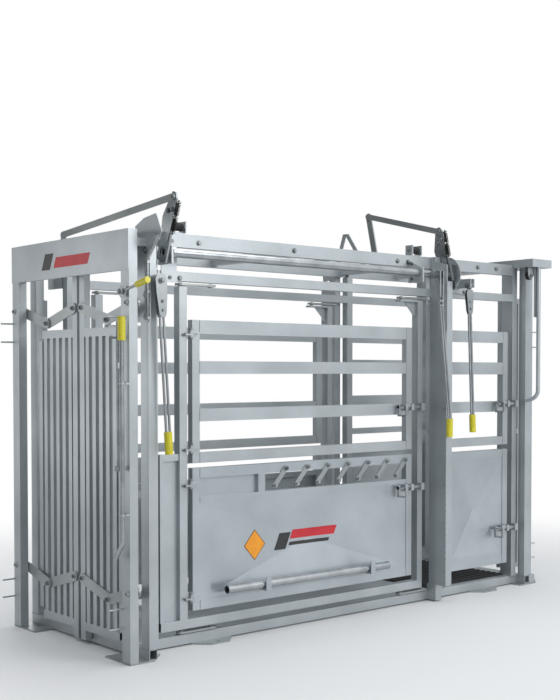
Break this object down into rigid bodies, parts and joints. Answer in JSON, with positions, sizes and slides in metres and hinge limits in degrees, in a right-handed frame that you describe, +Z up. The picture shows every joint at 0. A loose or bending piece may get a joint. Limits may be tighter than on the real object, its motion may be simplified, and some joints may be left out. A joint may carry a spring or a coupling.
{
  "type": "cattle squeeze chute",
  "caption": "Galvanised steel cattle squeeze chute with a headgate of linked doors, squeeze sides, barred and sheeted side gates, drop latches, hand levers and a folding tailgate.",
  "frame": {"origin": "on the floor, at the centre of the four anchor holes", "axes": "+X from the headgate to the rear, +Y from the operator side to the far side, +Z up"},
  "size_m": [3.61, 1.4302, 2.5705],
  "materials": {
    "galvanised": "satin silver-grey coat on welded steel tube",
    "bar_steel": "bright zinc on round bar and bolts",
    "grip": "yellow vinyl dip, slightly glossy",
    "rubber": "matte black ribbed rubber"
  },
  "bodies": {
    "frame": {"base_frame": "galvanised", "rubber_mat": "rubber", "anchor_plates": "galvanised", "headgate_frame": "galvanised", "roof_beams": "galvanised", "mid_frame": "galvanised", "rear_frame": "galvanised", "fittings": "galvanised"},
    "arm_outer_near_high": {"arm_outer_near_high": "galvanised"},
    "arm_inner_near_high": {"arm_inner_near_high": "galvanised"},
    "headgate_door_near": {"headgate_door_near": "galvanised"},
    "arm_outer_near_low": {"arm_outer_near_low": "galvanised"},
    "arm_inner_near_low": {"arm_inner_near_low": "galvanised"},
    "arm_outer_far_high": {"arm_outer_far_high": "galvanised"},
    "arm_inner_far_high": {"arm_inner_far_high": "galvanised"},
    "headgate_door_far": {"headgate_door_far": "galvanised"},
    "arm_outer_far_low": {"arm_outer_far_low": "galvanised"},
    "arm_inner_far_low": {"arm_inner_far_low": "galvanised"},
    "headgate_lever": {"headgate_lever": "galvanised", "headgate_lever_grip": "grip"},
    "release_lever": {"release_lever": "galvanised", "release_lever_grip": "grip"},
    "lift_rods": {"lift_rods": "galvanised", "lift_rods_grip": "grip"},
    "squeeze_link_front_near": {"squeeze_link_front_near": "galvanised"},
    "squeeze_link_rear_near": {"squeeze_link_rear_near": "galvanised"},
    "side_frame_near": {"side_frame_near": "galvanised"},
    "upper_gate_near": {"upper_gate_near": "galvanised"},
    "lower_gate_near": {"lower_gate_near": "galvanised"},
    "squeeze_link_front_far": {"squeeze_link_front_far": "galvanised"},
    "squeeze_link_rear_far": {"squeeze_link_rear_far": "galvanised"},
    "side_frame_far": {"side_frame_far": "galvanised"},
    "upper_gate_far": {"upper_gate_far": "galvanised"},
    "lower_gate_far": {"lower_gate_far": "galvanised"},
    "squeeze_shaft": {"squeeze_shaft": "galvanised", "squeeze_shaft_grip": "grip"},
    "cross_link_front": {"cross_link_front": "galvanised"},
    "far_rocker_front": {"far_rocker_front": "galvanised"},
    "cross_link_rear": {"cross_link_rear": "galvanised"},
    "far_rocker_rear": {"far_rocker_rear": "galvanised"},
    "drop_latch_1": {"drop_latch_1": "galvanised"},
    "drop_latch_2": {"drop_latch_2": "galvanised"},
    "drop_latch_3": {"drop_latch_3": "galvanised"},
    "drop_latch_4": {"drop_latch_4": "galvanised"},
    "drop_latch_5": {"drop_latch_5": "galvanised"},
    "drop_latch_6": {"drop_latch_6": "galvanised"},
    "drop_latch_7": {"drop_latch_7": "galvanised"},
    "stored_bar": {"stored_bar": "bar_steel"},
    "slam_latch_upper": {"slam_latch_upper": "bar_steel"},
    "slam_latch_lower": {"slam_latch_lower": "bar_steel"},
    "slam_latch_rear_upper": {"slam_latch_rear_upper": "bar_steel"},
    "slam_latch_rear_lower": {"slam_latch_rear_lower": "bar_steel"},
    "rear_gate_upper": {"rear_gate_upper": "galvanised"},
    "rear_gate_lower": {"rear_gate_lower": "galvanised"},
    "tail_leaf_outer_near": {"tail_leaf_outer_near": "galvanised"},
    "tail_leaf_inner_near": {"tail_leaf_inner_near": "galvanised"},
    "tail_leaf_outer_far": {"tail_leaf_outer_far": "galvanised"},
    "tail_leaf_inner_far": {"tail_leaf_inner_far": "galvanised"},
    "tailgate_lever": {"tailgate_lever": "galvanised", "tailgate_lever_grip": "grip"}
  },
  "joints": [
    {"name": "headgate_arm_turn_near_high", "type": "hinge", "parent": "frame", "child": "arm_outer_near_high", "pos_m": [-1.743, -0.589, 1.83], "axis": [-1, 0, 0], "range_deg": [0, 44]},
    {"name": "headgate_knee_near_high", "type": "hinge", "parent": "arm_outer_near_high", "child": "arm_inner_near_high", "pos_m": [-1.734, -0.3155, 1.755], "axis": [1, 0, 0], "range_deg": [0, 88]},
    {"name": "headgate_door_hang_near", "type": "hinge", "parent": "arm_inner_near_high", "child": "headgate_door_near", "pos_m": [-1.728, -0.04199, 1.83], "axis": [-1, 0, 0], "range_deg": [0, 44]},
    {"name": "headgate_arm_turn_near_low", "type": "hinge", "parent": "frame", "child": "arm_outer_near_low", "pos_m": [-1.743, -0.589, 0.362], "axis": [-1, 0, 0], "range_deg": [0, 44]},
    {"name": "headgate_knee_near_low", "type": "hinge", "parent": "arm_outer_near_low", "child": "arm_inner_near_low", "pos_m": [-1.734, -0.3155, 0.287], "axis": [1, 0, 0], "range_deg": [0, 88]},
    {"name": "headgate_arm_turn_far_high", "type": "hinge", "parent": "frame", "child": "arm_outer_far_high", "pos_m": [-1.743, 0.589, 1.83], "axis": [1, 0, 0], "range_deg": [0, 44]},
    {"name": "headgate_knee_far_high", "type": "hinge", "parent": "arm_outer_far_high", "child": "arm_inner_far_high", "pos_m": [-1.734, 0.3155, 1.755], "axis": [-1, 0, 0], "range_deg": [0, 88]},
    {"name": "headgate_door_hang_far", "type": "hinge", "parent": "arm_inner_far_high", "child": "headgate_door_far", "pos_m": [-1.728, 0.04199, 1.83], "axis": [1, 0, 0], "range_deg": [0, 44]},
    {"name": "headgate_arm_turn_far_low", "type": "hinge", "parent": "frame", "child": "arm_outer_far_low", "pos_m": [-1.743, 0.589, 0.362], "axis": [1, 0, 0], "range_deg": [0, 44]},
    {"name": "headgate_knee_far_low", "type": "hinge", "parent": "arm_outer_far_low", "child": "arm_inner_far_low", "pos_m": [-1.734, 0.3155, 0.287], "axis": [-1, 0, 0], "range_deg": [0, 88]},
    {"name": "headgate_lever_swing", "type": "hinge", "parent": "frame", "child": "headgate_lever", "pos_m": [-1.642, -0.653, 1.945], "axis": [0, 1, 0], "range_deg": [0, 44]},
    {"name": "release_lever_turn", "type": "hinge", "parent": "frame", "child": "release_lever", "pos_m": [-1.824, -0.585, 1.885], "axis": [-1, 0, 0], "range_deg": [0, 50]},
    {"name": "lift_rods_lift", "type": "slide", "parent": "frame", "child": "lift_rods", "axis": [0, 0, 1], "range_m": [0, 0.08]},
    {"name": "squeeze_link_turn_front_near", "type": "hinge", "parent": "frame", "child": "squeeze_link_front_near", "pos_m": [-1.15, -0.423, 1], "axis": [0, 0, -1], "range_deg": [0, 40]},
    {"name": "squeeze_side_near", "type": "hinge", "parent": "squeeze_link_front_near", "child": "side_frame_near", "pos_m": [-1.35, -0.423, 1], "axis": [0, 0, 1], "range_deg": [0, 40]},
    {"name": "squeeze_link_turn_rear_near", "type": "hinge", "parent": "frame", "child": "squeeze_link_rear_near", "pos_m": [0.56, -0.423, 1], "axis": [0, 0, -1], "range_deg": [0, 40]},
    {"name": "upper_gate_swing_near", "type": "hinge", "parent": "side_frame_near", "child": "upper_gate_near", "pos_m": [-1.306, -0.457, 1.3], "axis": [0, 0, -1], "range_deg": [0, 90]},
    {"name": "lower_gate_swing_near", "type": "hinge", "parent": "side_frame_near", "child": "lower_gate_near", "pos_m": [-1.306, -0.457, 0.5], "axis": [0, 0, -1], "range_deg": [0, 90]},
    {"name": "squeeze_link_turn_front_far", "type": "hinge", "parent": "frame", "child": "squeeze_link_front_far", "pos_m": [-1.15, 0.423, 1], "axis": [0, 0, 1], "range_deg": [0, 40]},
    {"name": "squeeze_side_far", "type": "hinge", "parent": "squeeze_link_front_far", "child": "side_frame_far", "pos_m": [-1.35, 0.423, 1], "axis": [0, 0, -1], "range_deg": [0, 40]},
    {"name": "squeeze_link_turn_rear_far", "type": "hinge", "parent": "frame", "child": "squeeze_link_rear_far", "pos_m": [0.56, 0.423, 1], "axis": [0, 0, 1], "range_deg": [0, 40]},
    {"name": "upper_gate_swing_far", "type": "hinge", "parent": "side_frame_far", "child": "upper_gate_far", "pos_m": [-1.306, 0.457, 1.3], "axis": [0, 0, 1], "range_deg": [0, 90]},
    {"name": "lower_gate_swing_far", "type": "hinge", "parent": "side_frame_far", "child": "lower_gate_far", "pos_m": [-1.306, 0.457, 0.5], "axis": [0, 0, 1], "range_deg": [0, 90]},
    {"name": "squeeze_lever_swing", "type": "hinge", "parent": "frame", "child": "squeeze_shaft", "pos_m": [0, -0.53, 2.105], "axis": [-1, 0, 0], "range_deg": [0, 25]},
    {"name": "cross_link_turn_front", "type": "hinge", "parent": "squeeze_shaft", "child": "cross_link_front", "pos_m": [-1.54, -0.62919, 2.37751], "axis": [1, 0, 0], "range_deg": [0, 25]},
    {"name": "far_rocker_turn_front", "type": "hinge", "parent": "frame", "child": "far_rocker_front", "pos_m": [-1.54, 0.58, 2.01], "axis": [-1, 0, 0], "range_deg": [0, 25]},
    {"name": "cross_link_turn_rear", "type": "hinge", "parent": "squeeze_shaft", "child": "cross_link_rear", "pos_m": [0.66, -0.46476, 2.38757], "axis": [1, 0, 0], "range_deg": [0, 25]},
    {"name": "far_rocker_turn_rear", "type": "hinge", "parent": "frame", "child": "far_rocker_rear", "pos_m": [0.66, 0.11, 2.265], "axis": [-1, 0, 0], "range_deg": [0, 25]},
    {"name": "drop_latch_turn_1", "type": "hinge", "parent": "lower_gate_near", "child": "drop_latch_1", "pos_m": [-0.62521, -0.445, 0.928], "axis": [0, 1, 0], "range_deg": [0, 45]},
    {"name": "drop_latch_turn_2", "type": "hinge", "parent": "lower_gate_near", "child": "drop_latch_2", "pos_m": [-0.45879, -0.445, 0.928], "axis": [0, 1, 0], "range_deg": [0, 45]},
    {"name": "drop_latch_turn_3", "type": "hinge", "parent": "lower_gate_near", "child": "drop_latch_3", "pos_m": [-0.29236, -0.445, 0.928], "axis": [0, 1, 0], "range_deg": [0, 45]},
    {"name": "drop_latch_turn_4", "type": "hinge", "parent": "lower_gate_near", "child": "drop_latch_4", "pos_m": [-0.12593, -0.445, 0.928], "axis": [0, 1, 0], "range_deg": [0, 45]},
    {"name": "drop_latch_turn_5", "type": "hinge", "parent": "lower_gate_near", "child": "drop_latch_5", "pos_m": [0.0405, -0.445, 0.928], "axis": [0, 1, 0], "range_deg": [0, 45]},
    {"name": "drop_latch_turn_6", "type": "hinge", "parent": "lower_gate_near", "child": "drop_latch_6", "pos_m": [0.20693, -0.445, 0.928], "axis": [0, 1, 0], "range_deg": [0, 45]},
    {"name": "drop_latch_turn_7", "type": "hinge", "parent": "lower_gate_near", "child": "drop_latch_7", "pos_m": [0.37336, -0.445, 0.928], "axis": [0, 1, 0], "range_deg": [0, 45]},
    {"name": "stored_bar_lift", "type": "slide", "parent": "lower_gate_near", "child": "stored_bar", "axis": [0, 0, 1], "range_m": [0, 0.1]},
    {"name": "rear_gate_swing_upper", "type": "hinge", "parent": "frame", "child": "rear_gate_upper", "pos_m": [0.747, -0.457, 1.3], "axis": [0, 0, -1], "range_deg": [0, 27]},
    {"name": "rear_gate_swing_lower", "type": "hinge", "parent": "frame", "child": "rear_gate_lower", "pos_m": [0.747, -0.457, 0.5], "axis": [0, 0, -1], "range_deg": [0, 90]},
    {"name": "slam_bolt_upper", "type": "slide", "parent": "upper_gate_near", "child": "slam_latch_upper", "axis": [1, 0, 0], "range_m": [0, 0.03]},
    {"name": "slam_bolt_lower", "type": "slide", "parent": "lower_gate_near", "child": "slam_latch_lower", "axis": [1, 0, 0], "range_m": [0, 0.03]},
    {"name": "slam_bolt_rear_upper", "type": "slide", "parent": "rear_gate_upper", "child": "slam_latch_rear_upper", "axis": [1, 0, 0], "range_m": [0, 0.03]},
    {"name": "slam_bolt_rear_lower", "type": "slide", "parent": "rear_gate_lower", "child": "slam_latch_rear_lower", "axis": [1, 0, 0], "range_m": [0, 0.03]},
    {"name": "tail_leaf_turn_near", "type": "hinge", "parent": "frame", "child": "tail_leaf_outer_near", "pos_m": [1.512, -0.342, 1], "axis": [0, 0, 1], "range_deg": [0, 78]},
    {"name": "tail_leaf_fold_near", "type": "hinge", "parent": "tail_leaf_outer_near", "child": "tail_leaf_inner_near", "pos_m": [1.67539, -0.31904, 1], "axis": [0, 0, -1], "range_deg": [0, 156]},
    {"name": "tail_leaf_turn_far", "type": "hinge", "parent": "frame", "child": "tail_leaf_outer_far", "pos_m": [1.512, 0.342, 1], "axis": [0, 0, -1], "range_deg": [0, 78]},
    {"name": "tail_leaf_fold_far", "type": "hinge", "parent": "tail_leaf_outer_far", "child": "tail_leaf_inner_far", "pos_m": [1.67539, 0.31904, 1], "axis": [0, 0, 1], "range_deg": [0, 156]},
    {"name": "tailgate_lever_swing", "type": "hinge", "parent": "frame", "child": "tailgate_lever", "pos_m": [0.855, -0.558, 2.045], "axis": [-1, 0, 0], "range_deg": [0, 25]}
  ],
  "couplings": [
    {"joint": "headgate_knee_near_high", "follows": "headgate_arm_turn_near_high", "ratio": 2},
    {"joint": "headgate_door_hang_near", "follows": "headgate_arm_turn_near_high", "ratio": 1},
    {"joint": "headgate_arm_turn_near_low", "follows": "headgate_arm_turn_near_high", "ratio": 1},
    {"joint": "headgate_knee_near_low", "follows": "headgate_arm_turn_near_high", "ratio": 2},
    {"joint": "headgate_arm_turn_far_high", "follows": "headgate_arm_turn_near_high", "ratio": 1},
    {"joint": "headgate_knee_far_high", "follows": "headgate_arm_turn_near_high", "ratio": 2},
    {"joint": "headgate_door_hang_far", "follows": "headgate_arm_turn_near_high", "ratio": 1},
    {"joint": "headgate_arm_turn_far_low", "follows": "headgate_arm_turn_near_high", "ratio": 1},
    {"joint": "headgate_knee_far_low", "follows": "headgate_arm_turn_near_high", "ratio": 2},
    {"joint": "headgate_lever_swing", "follows": "headgate_arm_turn_near_high", "ratio": 1},
    {"joint": "squeeze_side_near", "follows": "squeeze_link_turn_front_near", "ratio": 1},
    {"joint": "squeeze_link_turn_rear_near", "follows": "squeeze_link_turn_front_near", "ratio": 1},
    {"joint": "squeeze_link_turn_front_far", "follows": "squeeze_link_turn_front_near", "ratio": 1},
    {"joint": "squeeze_side_far", "follows": "squeeze_link_turn_front_near", "ratio": 1},
    {"joint": "squeeze_link_turn_rear_far", "follows": "squeeze_link_turn_front_near", "ratio": 1},
    {"joint": "squeeze_lever_swing", "follows": "squeeze_link_turn_front_near", "ratio": 0.625},
    {"joint": "cross_link_turn_front", "follows": "squeeze_link_turn_front_near", "ratio": 0.625},
    {"joint": "far_rocker_turn_front", "follows": "squeeze_link_turn_front_near", "ratio": 0.625},
    {"joint": "cross_link_turn_rear", "follows": "squeeze_link_turn_front_near", "ratio": 0.625},
    {"joint": "far_rocker_turn_rear", "follows": "squeeze_link_turn_front_near", "ratio": 0.625},
    {"joint": "tail_leaf_fold_near", "follows": "tail_leaf_turn_near", "ratio": 2},
    {"joint": "tail_leaf_turn_far", "follows": "tail_leaf_turn_near", "ratio": 1},
    {"joint": "tail_leaf_fold_far", "follows": "tail_leaf_turn_near", "ratio": 2},
    {"joint": "tailgate_lever_swing", "follows": "tail_leaf_turn_near", "ratio": 0.32051}
  ]
}
